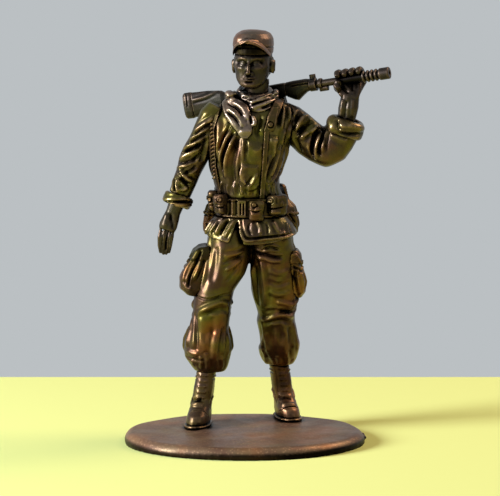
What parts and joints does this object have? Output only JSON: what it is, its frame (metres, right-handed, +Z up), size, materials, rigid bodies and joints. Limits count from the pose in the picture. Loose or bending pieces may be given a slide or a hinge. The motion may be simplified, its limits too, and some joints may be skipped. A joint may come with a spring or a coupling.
{
  "type": "toy soldier figure",
  "caption": "Standing toy soldier on an oval base, rifle carried across the shoulders, in peaked cap, scarf, belted jacket, bloused trousers and boots.",
  "frame": {"origin": "centre of the oval base's flat underside, where the toy rests on a table", "axes": "+Z up from the base to the cap, -Y towards the figure's front, +X towards the figure's own left hand, which holds the rifle"},
  "size_m": [0.0386, 0.028, 0.0596],
  "materials": {
    "base_plastic": "dark bronze-pigmented moulded plastic, glossy, with raised edges rubbed to copper brown",
    "boot_plastic": "dark bronze-pigmented moulded plastic, glossy, with raised edges rubbed to copper brown",
    "trouser_plastic": "dark bronze-pigmented moulded plastic, glossy, with raised edges rubbed to copper brown",
    "jacket_plastic": "dark bronze-pigmented moulded plastic, glossy, with raised edges rubbed to copper brown",
    "skin_plastic": "dark bronze-pigmented moulded plastic, glossy, with raised edges rubbed to copper brown",
    "cap_plastic": "dark bronze-pigmented moulded plastic, glossy, with raised edges rubbed to copper brown",
    "scarf_plastic": "dark bronze-pigmented moulded plastic, glossy, with raised edges rubbed to copper brown",
    "rifle_plastic": "dark bronze-pigmented moulded plastic, glossy, with raised edges rubbed to copper brown",
    "gear_plastic": "dark bronze-pigmented moulded plastic, glossy, with raised edges rubbed to copper brown"
  },
  "bodies": {
    "root": {"base": "base_plastic", "right_boot": "boot_plastic", "left_boot": "boot_plastic", "right_trouser_leg": "trouser_plastic", "left_trouser_leg": "trouser_plastic", "right_cargo_pocket": "trouser_plastic", "left_cargo_pocket": "trouser_plastic", "jacket_skirt": "jacket_plastic", "waist_belt": "gear_plastic", "belt_buckle": "gear_plastic", "right_front_pouch": "gear_plastic", "right_side_pouch": "gear_plastic", "left_front_pouch": "gear_plastic", "left_side_pouch": "gear_plastic", "right_canteen": "gear_plastic", "left_canteen": "gear_plastic", "jacket_body": "jacket_plastic", "right_suspender": "gear_plastic", "left_suspender": "gear_plastic", "right_upper_sleeve": "jacket_plastic", "right_lower_sleeve": "jacket_plastic", "right_cuff": "jacket_plastic", "right_hand": "skin_plastic", "left_upper_sleeve": "jacket_plastic", "left_lower_sleeve": "jacket_plastic", "left_cuff": "jacket_plastic", "left_hand": "skin_plastic", "neck_scarf": "scarf_plastic", "scarf_tail": "scarf_plastic", "head": "skin_plastic", "cap_crown": "cap_plastic", "cap_peak": "cap_plastic", "rifle_butt_plate": "rifle_plastic", "rifle_stock": "rifle_plastic", "rifle_trigger_guard": "rifle_plastic", "rifle_receiver": "rifle_plastic", "rifle_handguard": "rifle_plastic", "rifle_magazine": "rifle_plastic", "rifle_sight": "rifle_plastic", "rifle_barrel": "rifle_plastic", "rifle_band": "rifle_plastic", "rifle_muzzle": "rifle_plastic"}
  },
  "joints": []
}
